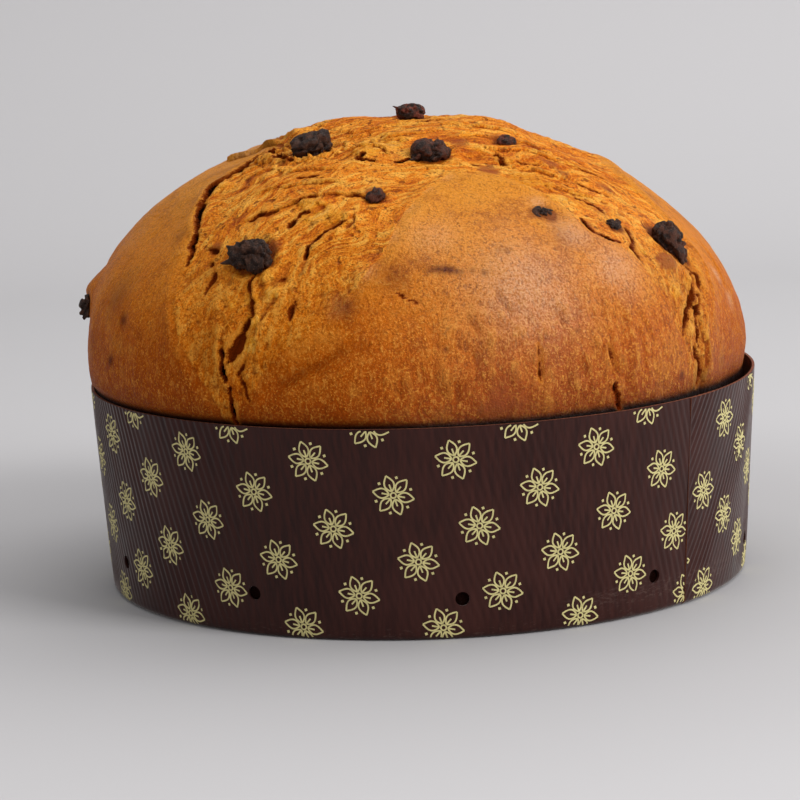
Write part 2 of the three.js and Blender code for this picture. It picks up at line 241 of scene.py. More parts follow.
loaf = {
    "gap": 0.35, "rimRise": -6.3, "step": 1.4, "edge": 4.5, "lip": 0.6, "lipWidth": 3.5,
    # four lobes of skin, [azimuth, rise], the same ones that the solid has
    "lobes": [
        [[-31, -32], [-30.5, -4], [-22, 6.5], [-13, 13], [-5, 24.5], [0.5, 36], [12, 45.5],
         [24, 45.5], [33, 37], [38, 25], [45, 18.5], [48, 8], [52, -5], [53, -32], [11, -44]],
        [[57, -32], [56.5, 0], [60, 9], [65.5, 18], [71, 29], [80, 38], [102, 42], [128, 37],
         [139, 20], [143, -32], [100, -46]],
        [[149, -32], [150, 16], [161, 40], [183, 50], [206, 44], [217, 22], [222, -32], [186, -46]],
        [[229, -32], [229, 20], [240, 42], [262, 57], [288, 54], [294, 41], [300, 33.5],
         [309, 22], [312.5, 14], [317, 7], [321, 2], [326, -4], [327, -32], [278, -48]],
    ],
    "lumps": [(0.55, 0.047, 0.052, 0.104, 1.3), (0.3, 0.118, 0.131, 0.185, 4.2)],
    # at, height and reach in mm
    "swellings": [
        ([-92, 26], 2.6, 30), ([-92, -1], -5.4, 19), ([-88, 10], 3.2, 8), ([-90, 17], -1.2, 6),
        ([-92, 49], -2.2, 18), ([-95, 68], 2.6, 20), ([72, 68], 2.2, 20), ([84, 53], -2.4, 15),
        ([90, 18], -2.6, 32), ([-8, 1], 1, 20), ([16, 24], 1, 34), ([2, 26.5], 0.7, 5),
        ([5.5, 9.5], 1.0, 1.8), ([12.5, 7.5], 0.8, 2), ([17, 8.5], 0.9, 2), ([30.5, 5.5], 0.45, 1.5),
        ([-28.5, 19], 1.0, 2.2), ([-26.5, 16], 0.9, 2.2), ([-18, 56.5], 1.4, 5), ([25, 53], -1.5, 5),
        ([53, 16.5], 2.0, 3.4), ([-60.5, 8.5], -0.5, 3), ([-4.5, 18.5], -0.6, 4), ([-45, 26], 0.6, 4),
        ([-80, 61], 1.6, 4), ([-64, 62], 1.3, 3), ([68, 12], 0.4, 4), ([36, 62], -0.8, 6),
        ([48, 52], 0.8, 6),
    ],
    # crags: at, reach, height
    "rugged": [
        ([-70, 55], 20, 1.3), ([-40, 60], 14, 0.8), ([44, 44], 16, 0.6), ([54, 10], 7, 0.6),
        ([-28, 16], 8, 0.5),
    ],
    # soft ridges and creases: line, height, reach
    "folds": [
        ([[-27, -1], [-20, 2], [-14, 5], [-8, 7.5]], -1.1, 7),
        ([[-24, 0], [-20, 2], [-17, 3.5], [-12, 6.2]], -1.3, 1.3),
        ([[-25, -3], [-19, -0.3], [-14, 2.2], [-9, 5]], 0.6, 2.2),
        ([[-24, 3.5], [-21, 6], [-18, 8.5]], 0.4, 1.5), ([[-49, 17], [-45.5, 10], [-42, 3]], 0.9, 5),
        ([[10, 44], [0, 34], [-5.5, 24.5], [-14, 13]], 0.7, 5),
        ([[67, 25], [62.5, 12], [59, 4]], 0.7, 5),
        ([[66, 20], [65.5, 15.5], [63, 11.5], [61.5, 8]], -0.7, 0.8),
        ([[78, 18.5], [75, 14.5], [71, 9]], -0.6, 0.8), ([[14, 16], [15, 13], [16, 10.5]], -1.1, 0.8),
        ([[19.5, 5.5], [19.7, 0]], -1.5, 0.8), ([[32.5, 5], [33.5, -0.5]], -1.2, 0.8),
        ([[9, 5.5], [9.5, 0]], -1.1, 0.8), ([[5.5, 1], [6, -3]], -1.2, 0.8),
        ([[24, 12], [25, 7]], -0.9, 0.8), ([[27.5, 3], [28.5, -3]], -0.9, 0.8),
        ([[8, 12], [10, 8]], -0.9, 0.8), ([[40, 10], [42, 3]], -0.3, 0.9),
        ([[-37, 15], [-34, 13.5], [-30, 12]], 0.5, 0.6),
        ([[-38.5, 14], [-35, 12], [-31.5, 11]], 0.45, 0.6),
    ],
    # torn edges: line, height and reach; the high side is to the left of the way it runs
    "edges": [
        ([[-71, 51], [-67, 44], [-66, 38], [-58.5, 31], [-52, 24.5], [-49.5, 20]], -0.7, 6),
        ([[-100, 44], [-98, 46], [-88, 54], [-76, 58]], 2.2, 5),
        ([[-72, 49.5], [-66, 50.5], [-55.5, 51.5], [-44.5, 51.5], [-33, 52.5], [-22, 52]], -1.6, 4),
        ([[-56, 45], [-46, 46.5], [-34, 48], [-22, 47.5]], 0.6, 3),
        ([[-47, 37.5], [-38, 41], [-27, 43], [-16, 42.5]], 0.6, 3),
        ([[-39.5, 30.5], [-35, 33.5], [-29.5, 36.8], [-21.5, 38.8], [-15, 39], [-11.5, 38]], 0.8, 4),
        ([[-30, 35], [-25, 36], [-20, 35]], 0.7, 2),
        ([[-15.5, 30.5], [-18, 29], [-20.5, 27], [-22, 23.5]], 1.2, 3),
        ([[-14, 34], [-13, 31], [-15, 28]], 0.8, 2.5),
        ([[-6, 36], [3.5, 41], [14, 45.5], [24.5, 41], [34.5, 36], [37, 30], [39, 27]], -0.7, 3),
        ([[-6.5, 50], [7, 49], [16, 50], [24, 48]], -1.4, 4),
        ([[30, 47], [36, 46], [42, 44], [50, 38]], 0.8, 3),
        ([[28, 57], [40, 54], [52, 50], [62, 42]], 0.9, 3),
        ([[38, 40], [44, 36], [50, 33], [55, 29]], 0.7, 2.5),
        ([[20, 62], [38, 63], [52, 57], [66, 47]], 0.8, 3), ([[30, 70], [50, 67], [66, 58]], 0.7, 3),
        ([[-20, 62], [-6, 66], [8, 68], [24, 67]], 0.8, 3.5),
        ([[-30, 57], [-22, 59], [-12, 58], [-8, 55]], 1.0, 2.5),
        ([[-44, 66], [-20, 73], [4, 76], [30, 73]], 0.6, 4),
        ([[-31.5, 18.5], [-31, 15.5], [-29.5, 11]], 0.9, 2.5),
        ([[-26, 13], [-27.5, 9], [-27.5, 4]], 0.7, 2.5), ([[-36, 12], [-34.5, 8], [-35, 4]], -0.7, 3),
        ([[57, 16], [55.5, 8], [57, 0], [55, -6]], 0.9, 3.5),
    ],
    # open cracks and pits: line, width, depth, how burnt (0 is still orange inside); the darkness inside is
    # partly char, partly painted shade of the crack's depth
    "cracks": [
        ([[-71, 51], [-67, 44], [-66, 38.5], [-58.5, 31], [-52, 24.5], [-49.5, 20]], 1.3, 3, 1),
        ([[-66, 48.5], [-70, 51], [-68, 54.5], [-61, 56]], 1.5, 2, 0.8),
        ([[-57, 50.5], [-46, 50.5]], 1.1, 1.2, 0.7),
        ([[-43.5, 21], [-41, 18.5], [-41, 15]], 0.9, 1.2, 0.2),
        ([[-46, 23.8], [-43.5, 23.4]], 1.6, 1.4, 0.6),
        ([[-39.5, 30.2], [-37.5, 32.4], [-34, 33.6]], 1.9, 1.8, 0.15),
        ([[-28.2, 29.2], [-27.2, 30.8]], 1.7, 1.8, 0.6),
        ([[-27.4, 31.5], [-27, 33], [-25.4, 33.6]], 0.6, 0.8, 0.5),
        ([[-31, 35.8], [-28, 37.4], [-25, 38.2]], 0.7, 0.9, 0.1),
        ([[-18, 38.8], [-15, 38.6], [-11, 37.5]], 0.7, 0.9, 0.2),
        ([[-15, 31], [-18, 29.2], [-20.5, 27.2], [-22, 25], [-22, 22.8]], 0.55, 1.3, 0.9),
        ([[-31.5, 18.6], [-32, 17.4], [-30.6, 15], [-29.2, 11.5]], 1.0, 1.5, 0.25),
        ([[-21.4, 14.2], [-22.2, 11.2]], 0.5, 0.8, 0.6), ([[-26.6, 18], [-24.6, 19]], 0.8, 0.9, 0.5),
        ([[-30, 10.8], [-30.6, 8.3], [-31.4, 6.5], [-32.8, 4]], 2.8, 2.6, 0.15),
        ([[-34.2, 5.6], [-33.6, 3.5], [-32.8, 1]], 1.2, 2, 1),
        ([[-32.2, 0], [-32, -3], [-31.4, -6.5]], 0.8, 1.6, 1),
        ([[-30, 2], [-29, -0.5], [-28.4, -2]], 0.5, 0.8, 0.6), ([[-29.4, 4], [-31, 1.8]], 0.8, 1, 0.3),
        ([[-3.2, 15.6], [-1.5, 14.6], [0.4, 13.8]], 0.5, 0.7, 0.6),
        ([[49, 24.5], [48, 22], [46, 20], [46, 17]], 1.2, 1.8, 0.2),
        ([[39.3, 28], [39, 25.5], [40.6, 23.3], [44, 21.6]], 0.8, 1.2, 1),
        ([[58.5, 13.5], [56.5, 10.5], [53, 7.5], [51, 4]], 1.5, 2.2, 0.3),
        ([[57.8, 9.8], [54.8, 6.4], [54.4, 4], [55, 1.5]], 1.5, 2.4, 0.6),
        ([[53, 1.5], [55, -2], [54.5, -5.5]], 1.1, 2, 0.6),
        ([[58, 16], [60, 13], [59, 10]], 0.8, 1, 0.3),
        ([[10, 78.6], [26, 78.8], [46, 77]], 1.8, 2, 0.2), ([[33.3, -1.8], [34.2, -6.2]], 1.4, 1.6, 1),
        ([[36.6, 54], [33.6, 50], [32.5, 47]], 1.5, 1.6, 0.1),
        ([[-18, 54.5], [-20, 53], [-14, 52.4]], 1.0, 1.5, 1),
        ([[-5.5, 51.4], [-2, 52.6], [3, 53.4]], 1.0, 1, 1),
        ([[-36, 44.5], [-29, 45.5]], 0.6, 0.7, 0.4), ([[38, 48], [45, 46]], 0.6, 0.8, 0),
        ([[50, 38], [56, 33]], 0.6, 0.8, 0.1), ([[44, 34], [47, 31], [46.5, 28]], 0.7, 0.9, 0.7),
        ([[62, 43], [69, 36]], 0.6, 0.8, 0.1), ([[20, 49.5], [23, 48.6]], 0.6, 0.6, 0.8),
        ([[19.4, 6], [19.8, 3], [19.6, 0]], 0.2, 0.4, 0.1), ([[32.6, 4.5], [33.3, 1]], 0.2, 0.4, 0.2),
        ([[146, 26], [144.5, 12], [147, 1], [146, -5]], 1.8, 2.6, 0.6),
        ([[-135, 30], [-133, 14], [-135.5, 3], [-134, -5]], 1.8, 2.6, 0.6),
    ],
    # what coloured the crust: at, reach, strength
    # bruises and burnt marks, and painted shade along the crease low on the front
    "stainAndShade": [  # bruises and burnt marks
        ([-60.5, 8.5], 2.4, 0.9), ([-63, 1.5], 2, 1), ([-66, 12], 7, 0.45), ([-57, 26], 3.2, 0.4),
        ([-72, 4], 5, 0.3), ([-12.5, 13.5], 4.5, 0.6), ([-4.5, 18.5], 4.5, 0.45),
        ([2.4, 19.5], 1, 0.7), ([3.4, 19.8], 1.3, 0.9), ([4.4, 19.9], 1.4, 1), ([5.4, 19.7], 1.5, 1.2),
        ([6.4, 19.6], 1.4, 1.2), ([7.4, 19.3], 1.2, 1), ([8.4, 19.1], 1, 0.8), ([10.4, 19.2], 1, 0.6),
        ([12.5, 18.6], 1.1, 0.8), ([16.2, 22.8], 1.1, 0.5), ([17.6, 22.5], 1.2, 0.6),
        ([80, 30], 5, 0.35), ([87, 22], 6, 0.3), ([84, 12], 5, 0.25), ([30.5, 25], 5, 0.25),
        # the spots from [-23, 0.4] on this line to [-9, 7] on the next are painted shade along the crease
        ([48.5, -2.5], 1.3, 0.9), ([-23, 0.4], 3, 0.2), ([-19.5, 2.2], 3, 0.22), ([-16, 3.9], 3, 0.22),
        ([-12.5, 5.8], 3, 0.2), ([-9, 7], 3, 0.2), ([27, 7.5], 0.9, 0.8), ([4.5, 6], 0.9, 0.8),
        ([-22, 19.5], 0.8, 0.7), ([55, -3.5], 3.4, 0.6), ([-88, 57], 5, 0.6), ([-76, 55], 4, 0.5),
        ([-52, 62], 5, 0.3), ([-63, 57], 1.5, 0.9), ([-48.5, 49.8], 1.5, 0.8),
        ([39.3, 26.5], 1.5, 0.8), ([46.5, 29.5], 2.5, 0.4), ([62, -2], 3, 0.35),
    ],
    "red": [  # glazed reddish brown, where butter or fruit juice ran
        ([-29.5, 25], 4, 0.8), ([-44.5, 24], 3, 0.7), ([-38, 31.5], 4, 0.4), ([53, 17], 4.5, 0.8),
        ([50, 46], 5, 0.7), ([50, 42], 4, 0.6), ([56, 52], 5, 0.6), ([40, 51], 4, 0.5),
        ([25, 45.5], 4, 0.7), ([13.5, 46], 4, 0.3), ([60, 36], 5, 0.5), ([-70, 53], 5, 0.5),
        ([-50, 56], 6, 0.3), ([-11, 40], 3, 0.6), ([-22, 22], 5, 0.35), ([-16, 25], 5, 0.3),
        ([5, 60], 6, 0.4), ([24, 60], 5, 0.6), ([-6, 54], 4, 0.4), ([46, 60], 5, 0.5),
        ([-58, 41], 4, 0.25), ([20, 70], 6, 0.35), ([160, 50], 12, 0.4), ([-150, 44], 10, 0.4),
        ([66, 30], 4, 0.3), ([13, -2], 12, 0.6),
    ],
    "fresh": [  # bread that tore late and stayed pale
        ([-23, 33.5], 6, 0.9), ([-17.5, 31.5], 4.5, 1), ([-28, 36], 4, 0.6), ([-21.5, 50], 5, 0.5),
        ([-18, 56.5], 5, 1), ([-12.5, 63], 7, 0.9), ([-14, 76], 10, 0.6), ([-62.5, 38], 4, 0.5),
        ([-57, 44], 6, 0.35), ([-28.5, 19], 3, 0.75), ([-26.5, 16], 3, 0.7), ([-30, 14.5], 3, 0.7),
        ([-29, 11], 3, 0.8), ([-28.6, 7], 2.6, 0.8), ([-30.5, 2.5], 2.5, 0.5), ([-34, 13.5], 3, 0.6),
        ([-45, 45], 7, 0.3), ([33.5, 41], 5, 1), ([38, 39], 4, 0.9), ([34, 49.5], 3, 1),
        ([38, 33.5], 5, 0.7), ([45, 33], 5, 1), ([28, 63], 8, 0.5), ([51, 28], 4, 0.8),
        ([48, 20], 3.5, 0.7), ([29.5, 56], 5, 0.4), ([37, 72], 7, 0.5), ([62, 44], 6, 0.5),
        ([51.5, 11], 3, 0.6), ([53, 8], 3, 0.5), ([53, 4.5], 2.6, 0.5), ([57, 12.5], 2, 0.6),
        ([74, 33], 4, 0.4), ([146, 10], 6, 0.7), ([-134, 10], 6, 0.7), ([170, 62], 12, 0.4),
        ([-110, 62], 9, 0.3),
    ],
    # dry, slightly pale and grey skin, and a painted pinkish sheen on the front
    "dustAndSheen": [  # dry, slightly pale and grey skin
        ([10, 44], 2.5, 0.25), ([3, 40], 2.5, 0.3), ([-1.5, 34], 2.5, 0.3), ([-5, 27], 3, 0.3),
        ([-9, 20], 3, 0.3), ([-14, 14], 3, 0.3), ([33, 25], 6, 0.7), ([30, 33], 3, 0.5),
        ([69, 12], 3, 0.7), ([71, 7], 3, 0.6), ([20, 15], 17, 0.75), ([38, 17], 9, 0.65),
        ([4, 26], 8, 0.3), ([-98, 50], 5, 0.6),
    ],
}

raisins = {  # at, half length, width and thickness, turn, stand above the crust
    "raisin_front_left": ([-33.3, 22.3], [7.2, 5.6, 4.4], -4, 0.8),
    "raisin_top_left": ([-46, 56.5], [6.2, 5.4, 4.2], 24, 1.6),
    "raisin_top_middle": ([9, 55.5], [6.2, 5.2, 4], 6, 0.9),
    "raisin_summit": ([8, 85], [4.8, 4, 2.8], -6, 2),
    "raisin_middle": ([-9.5, 38], [3, 2.6, 2.4], 40, 0.5),
    "raisin_half_buried": ([30.5, 30], [4.6, 3.2, 3], -22, -2.5),
    "raisin_right_small": ([46.5, 25.5], [3.2, 2.4, 2.4], -10, -0.5),
    "raisin_right_crevice": ([58.5, 19.5], [8, 4.6, 4.2], 108, 0.4),
    "raisin_left_edge": ([-86, 7.5], [4.2, 3.2, 3], 100, 0),
    "raisin_top_right": ([47, 57.5], [3.6, 2.4, 2.2], -16, 0),
    "raisin_back_left": ([-147, 30], [7, 5, 4], 30, 0.9),
    "raisin_back_middle": ([172, 22], [5.2, 4, 3.4], -35, 0.4),
    "raisin_back_right": ([152, 37], [6, 4.6, 3.8], 12, 1),
    "raisin_right_side": ([120, 12], [4.4, 3.2, 3], 70, 0.2),
    "raisin_left_side": ([-118, 26], [5, 3.6, 3.2], -50, 0.4),
    "raisin_back_high": ([-168, 50], [4.6, 4, 3.2], 80, 0.9),
}

paper = {
    "height": 66.5, "rim": 109.4, "foot": 105.2, "corner": 2.2, "thick": 0.8,
    "lap": 49, "lapWidth": 14, "lapStep": 0.4, "flutes": 250, "fluteDepth": 0.11, "creaseHeight": 7.5,
    "vents": 10, "ventRadius": 2.2, "ventHeight": 12.9, "ventTilt": 1.4, "firstVent": -31.1,
}


def raisinAxes(at, turn):  # long side, wide side and outward, as rows
    out = outward(*at)
    level = np.array([math.cos(math.radians(at[0])), math.sin(math.radians(at[0])), 0])
    uphill = np.cross(out, level)
    c, s = math.cos(math.radians(turn)), math.sin(math.radians(turn))
    return np.array([c * level + s * uphill, -s * level + c * uphill, out])


def crustTints(base):
    tints = {}
    for kind in ("stainAndShade", "red", "fresh", "dustAndSheen"):
        tints[kind] = np.zeros(len(base))
        for at, reach, strength in loaf[kind]:
            gap = np.linalg.norm(base - onDome(*at), axis=1)
            gap += 0.3 * reach * layered(base, reach, 70, 3, 0.7)
            np.maximum(tints[kind], strength * hill(np.maximum(gap, 0), reach), out=tints[kind])
    return tints


def crustTexture(base, azimuth, rise, torn, fresh):
    # torn bread: ragged plates with small cliffs, and strands drawn across the top or down the seams
    drift = 2.5 * grain(base, 12, 21)
    slant = base[:, 1] - 0.25 * base[:, 0] + 2 * drift
    across = np.stack([slant / 1.5, base[:, 0] / 11, base[:, 2] / 9], -1)
    down = np.stack([(azimuth * 1.7 + drift) / 1.5, base[:, 2] / 9, base[:, 1] / 9], -1)
    high = smooth(rise, 26, 34)
    strand = high * layered(across, 1, 22, 3, 0.6) + (1 - high) * layered(down, 1, 24, 3, 0.6)
    patches = layered(base, 9, 30, 4, 0.62)
    plates = sum(smooth(patches, level, level + 0.1) for level in (-0.32, -0.05, 0.2, 0.42))
    pits = smooth(grain(base, 2.2, 34), 0.5, 0.85)
    rough = torn * (0.5 + 0.5 * smooth(fresh, 0.1, 0.6))
    fine = rough * (0.45 * plates + 0.4 * strand + 0.45 * layered(base, 2.6, 36, 3) - 0.6 * pits)
    # skin: orange-peel dimples everywhere, blisters low on the front
    low = smooth(rise, 24, 6) * smooth(np.abs(azimuth - 18), 34, 16)
    leather = smooth(np.abs(azimuth - 30), 46, 20) * smooth(rise, 42, 18)
    dimples = smooth(grain(base, 2.0, 42), 0.75, 0.9)
    fine += (1 - rough) * (0.16 * layered(base, 2.4, 40, 3, 0.6) - 0.25 * dimples)
    blisters = np.abs(grain(base * [1, 1, 0.6], 3.2, 44))
    fine += low * (0.8 * blisters + 0.35 * grain(base * [1, 1, 0.4], 1.8, 45))
    crags = layered(base, 6, 55, 4, 0.65)
    crags = np.abs(crags) * 2 + 0.8 * smooth(crags, 0.05, 0.12) + 0.7 * smooth(crags, -0.2, -0.14)
    for at, reach, height in loaf["rugged"]:
        fine += height * torn * hill(np.linalg.norm(base - onDome(*at), axis=1), reach) * (crags - 0.8)
    return fine + 0.6 * layered(base, 17, 50, 3, 0.55), {"strand": strand, "leather": leather}


def crustShape(azimuth, rise):
    base = onDome(azimuth, rise)
    out = outward(azimuth, rise)
    fray = np.stack([grain(base, 7, 1), grain(base, 7, 2)], -1) * 1.1
    fray += np.stack([grain(base, 2.4, 3), grain(base, 2.4, 4)], -1) * 0.5
    flat = flattened(azimuth, rise) + fray
    inside = np.max([depthInside(flat, flattened(*np.array(o, float).T)) for o in loaf["lobes"]], 0)
    skin = smooth(inside, -loaf["edge"], loaf["edge"])
    relief = loaf["step"] * (skin - 0.5)
    lip = hill(inside - loaf["lipWidth"], loaf["lipWidth"])
    relief += loaf["lip"] * lip * (0.7 + 0.9 * grain(base, 16, 12)) * smooth(rise, 0, 20)
    for height, across, along, up, shift in loaf["lumps"]:
        wave = np.sin(across * base[:, 0] + shift) * np.sin(along * base[:, 1] + 2 * shift)
        relief += height * (wave + np.sin(up * base[:, 2] + shift + 0.03 * base[:, 0]))
    for at, height, reach in loaf["swellings"]:
        relief += height * hill(np.linalg.norm(base - onDome(*at), axis=1), reach)

    def nearLine(line, reach):  # only the points near a line are measured
        path = onDome(*throughPoints(line, 8 * (len(line) - 1) + 1).T)
        path += 1.2 * np.stack([layered(path, 5, seed, 3, 0.65) for seed in (5, 6, 7)], -1)
        middle = path.mean(0)
        span = np.linalg.norm(path - middle, axis=1).max() + 3 * reach
        near = np.flatnonzero(np.linalg.norm(base - middle, axis=1) < span)
        return near, lineGap(base[near], out[near], path)

    for line, height, reach in loaf["folds"]:
        near, (gap, share, side) = nearLine(line, reach)
        relief[near] += height * hill(gap, reach) * smooth(np.minimum(share, 1 - share), -0.1, 0.2)
    for line, height, reach in loaf["edges"]:
        near, (gap, share, side) = nearLine(line, reach)
        ends = smooth(np.minimum(share, 1 - share), 0, 0.25) * (1 + 0.5 * grain(base[near], 6, 8))
        high = np.where(side * np.sign(height) > 0, np.exp(-gap / reach), -0.5 * np.exp(-gap / 1.2))
        relief[near] += abs(height) * high * ends
    crackGap = np.full(len(base), 6.0)
    burnt = np.zeros(len(base))
    for line, width, depth, burn in loaf["cracks"]:
        near, (gap, share, side) = nearLine(line, 3)
        half = width / 2 * np.sqrt(np.clip(np.sin(np.pi * np.clip(share, 0.02, 0.98)), 0.05, 1))
        half *= np.clip(0.95 + 1.1 * grain(base[near], 2.8, 9), 0.25, 1.8)
        gap = gap + 0.45 * grain(base[near], 1.5, 10)
        relief[near] -= depth * np.clip(1 - gap / (half + 0.5), 0, 1) ** 0.8
        burnt[near] = np.where(gap - half < crackGap[near], burn, burnt[near])
        crackGap[near] = np.minimum(crackGap[near], gap - half)

    tints = crustTints(base)
    torn = 1 - smooth(inside, -1.5, 1.5)
    texture, textureMarks = crustTexture(base, azimuth, rise, torn, tints["fresh"])
    relief += texture

    fruitGap = np.full(len(base), 12.0)
    for at, half, turn, _ in raisins.values():
        away = (base - onDome(*at)) @ raisinAxes(at, turn).T
        gap = (np.linalg.norm(away[:, :2] / half[:2], axis=1) - 1) * half[1]
        gap = np.where(np.abs(away[:, 2]) < 14, gap, 12) + 0.6 * grain(base, 2.5, 60)
        relief -= 0.5 * hill(np.maximum(gap, 0), 1) - 0.3 * hill(gap - 2.4, 1.5) * (1 + grain(base, 4, 61))
        fruitGap = np.minimum(fruitGap, gap)

    point = base + out * relief[:, None]
    room = paper["rim"] - paper["thick"] - loaf["gap"]
    limit = room + 0.8 * np.maximum(0, point[:, 2] - paper["height"] - 0.9)
    reach = np.hypot(point[:, 0], point[:, 1])
    point[:, :2] *= np.minimum(1, limit / reach)[:, None]
    return point, {"torn": torn, "crackGap": crackGap, "burnt": burnt, "fruitGap": fruitGap,
                   "relief": relief, **textureMarks, **tints}


crustMarks = ("torn", "fresh", "red", "stainAndShade", "dustAndSheen", "leather", "strand", "hollow", "burnt",
              "crackGap", "fruitGap")


def crustMaterial():
    # baked egg-washed crust: a satin skin, rough where it tore, lighter towards the top partly as painted top
    # light, with painted shade by the rim
    material, tree = newMaterial("baked_crust")
    x, y, z = node(tree, "SeparateXYZ", node(tree, "TexCoord", out="Object")).node.outputs
    mark = {name: node(tree, "Attribute", out="Fac", attribute_name=name) for name in crustMarks}
    broad = speckle(tree, 34)
    mottle = speckle(tree, 12, 5, 0.6)
    flecks = speckle(tree, 1.8, 4, 0.65)
    fine = speckle(tree, 0.7, 4, 0.7)
    dots = speckle(tree, 2.6, 2, 0.4)

    # strands run down the sides, and across the top
    down = speckle(tree, 1.2, 4, 0.65, (1, 1, 0.42), 0.5)
    drawn = node(tree, "CombineXYZ", mixture(tree, (y, 1), (x, -0.25), (broad, 0.05)),
                 mixture(tree, (x, 0.14)), mixture(tree, (z, 0.3)))
    across = speckle(tree, 1.4, 4, 0.65, swirl=0.6, spot=drawn)
    bands = speckle(tree, 5.5, 6, 0.62, swirl=0.8, spot=drawn)
    strand = node(tree, "Mix", softShare(tree, (z, 0.108, 0.120)), down, across)

    # darker low and lighter high: partly the crust's own tone, partly painted top light
    height = mixture(tree, (z, 1), (broad, 0.03))
    skin = node(tree, "ValToRGB", softShare(tree, (height, 0.080, 0.160)), stops=[
        (0.0, "a64600"), (0.2, "bc5800"), (0.45, "d07004"), (0.75, "dc8218"), (1.0, "e2912a")])
    leather = softShare(tree, (mark["leather"], 0.0, 1.0, 0.6, 1.0))
    lively = softShare(tree, (flecks, 0.38, 0.6, 0.55, 1.0))
    skin = paint(tree, skin, [
        ("d48a30", (mottle, 0.48, 0.7, 0, 0.35)),
        ("96420c", (mottle, 0.5, 0.34, 0, 0.5), (flecks, 0.3, 0.6, 0.5, 1)),
        ("e0943a", (down, 0.53, 0.64, 0, 0.65), leather),
        ("823c06", (down, 0.47, 0.37, 0, 0.6), leather),
        # bright flecks: partly the skin's own speckle, partly painted glints
        ("eea43e", (fine, 0.53, 0.64, 0, 0.7), lively),
        ("702f00", (fine, 0.48, 0.37, 0, 0.55), lively),
        # pale dry skin and a painted pinkish sheen
        ("e0b08a", (fine, 0.38, 0.62, 0.2, 0.95), mark["dustAndSheen"]),
    ])

    shade = mixture(tree, (strand, 0.45), (bands, 0.5), (mottle, 0.15), (mark["strand"], 0.1))
    tornSkin = node(tree, "ValToRGB", shade, stops=[
        (0.41, "a04000"), (0.47, "d06402"), (0.54, "ee8814"), (0.63, "ffb648")])
    tornSkin = paint(tree, tornSkin, [
        ("843804", (fine, 0.5, 0.37, 0, 0.7)),
        ("f2a63c", (fine, 0.52, 0.64, 0, 0.55)),
        # painted shade in the small pits that the bump also sinks
        ("7c3204", (dots, 0.62, 0.7, 0, 0.7)),
    ])
    pale = node(tree, "ValToRGB", shade, stops=[
        (0.4, "b85404"), (0.49, "de8010"), (0.57, "f0a02c"), (0.7, "f6bc5e")])
    pale = paint(tree, pale, [("b05a08", (fine, 0.5, 0.37, 0, 0.65))])

    bare = softShare(tree, (mark["torn"], 0.2, 0.8, 0.35, 1.0))
    tear, late, glaze, byRaisin = (mixture(tree, (mark[name], 1), (mottle, ragged)) for name, ragged in (
        ("torn", 0.5), ("fresh", 0.9), ("red", 0.9), ("fruitGap", 5)))
    crack = mixture(tree, (mark["crackGap"], 1), (fine, 1.5), (mark["burnt"], -0.35))
    # the crack's core: orange crumb, near black where burnt, partly as painted shade
    inner = paint(tree, "863406", [("100402", mark["burnt"])])
    color = paint(tree, skin, [
        (tornSkin, (tear, 0.6, 1.1), (z, 0.1, 0.122, 0.45, 1)),
        (pale, (late, 0.72, 1.0)),
        # painted shade in the crevices
        ("8c3a04", (mark["hollow"], 0.06, 0.5, 0, 0.85), bare),  # crevices
        # painted highlight on the ridges
        ("f0a840", (mark["hollow"], -0.08, -0.45, 0, 0.4), bare),  # ridges
        ("98461c", (glaze, 0.7, 1.05, 0, 0.75)),
        # painted shade on the bread just above the case rim
        ("5a2204", (z, 0.076, 0.067, 0, 0.5)),  # the rim's shade
        # near-black painted shadow in the gap at the rim and on all the bread below it, inside the case
        ("160502", (z, 0.0695, 0.0665)),
        # bruises, burnt marks and painted crease shade
        ("541a08", (fine, 0.3, 0.6, 0.6, 1.0), mark["stainAndShade"]),
        # darker red-brown round each raisin
        ("6a2406", (byRaisin, 3.6, 1.8, 0, 0.8)),
        ("d07a1c", (crack, 2.2, 1.4, 0, 0.6), (mark["burnt"], 1.0, 0.0, 0.2, 1)),
        # painted shade: darker towards the middle of each crack
        ("8c3202", (crack, 1.4, 0.8, 0, 0.95)),
        (inner, (crack, 0.7, 0.3)),
    ])

    pits = softShare(tree, (dots, 0.62, 0.7))
    relief = mixture(tree, (fine, 1), (flecks, 0.7), (down, leather),
                     (strand, mixture(tree, (mark["torn"], 1.6))),
                     (pits, mixture(tree, (mark["torn"], -0.8))),
                     (softShare(tree, (crack, 0.3, 1.0, -2, 0)), 1))
    gloss = mixture(tree, (softShare(tree, (z, 0.085, 0.12, 0.04, 0.1)), 1), (mark["leather"], 0.18))
    finishMaterial(tree, {
        "Base Color": color,
        "Roughness": mixture(tree, (softShare(tree, (fine, 0.35, 0.65, 0.36, 0.5)), 1), (mark["torn"], 0.1)),
        "Specular IOR Level": softShare(tree, gloss, (crack, 0.5, 1.2, 0.05, 1.0)),
        "Normal": node(tree, "Bump", named={"Height": relief, "Distance": 0.8 * mm, "Strength": 0.9}),
        "IOR": 1.45,
    })
    return material


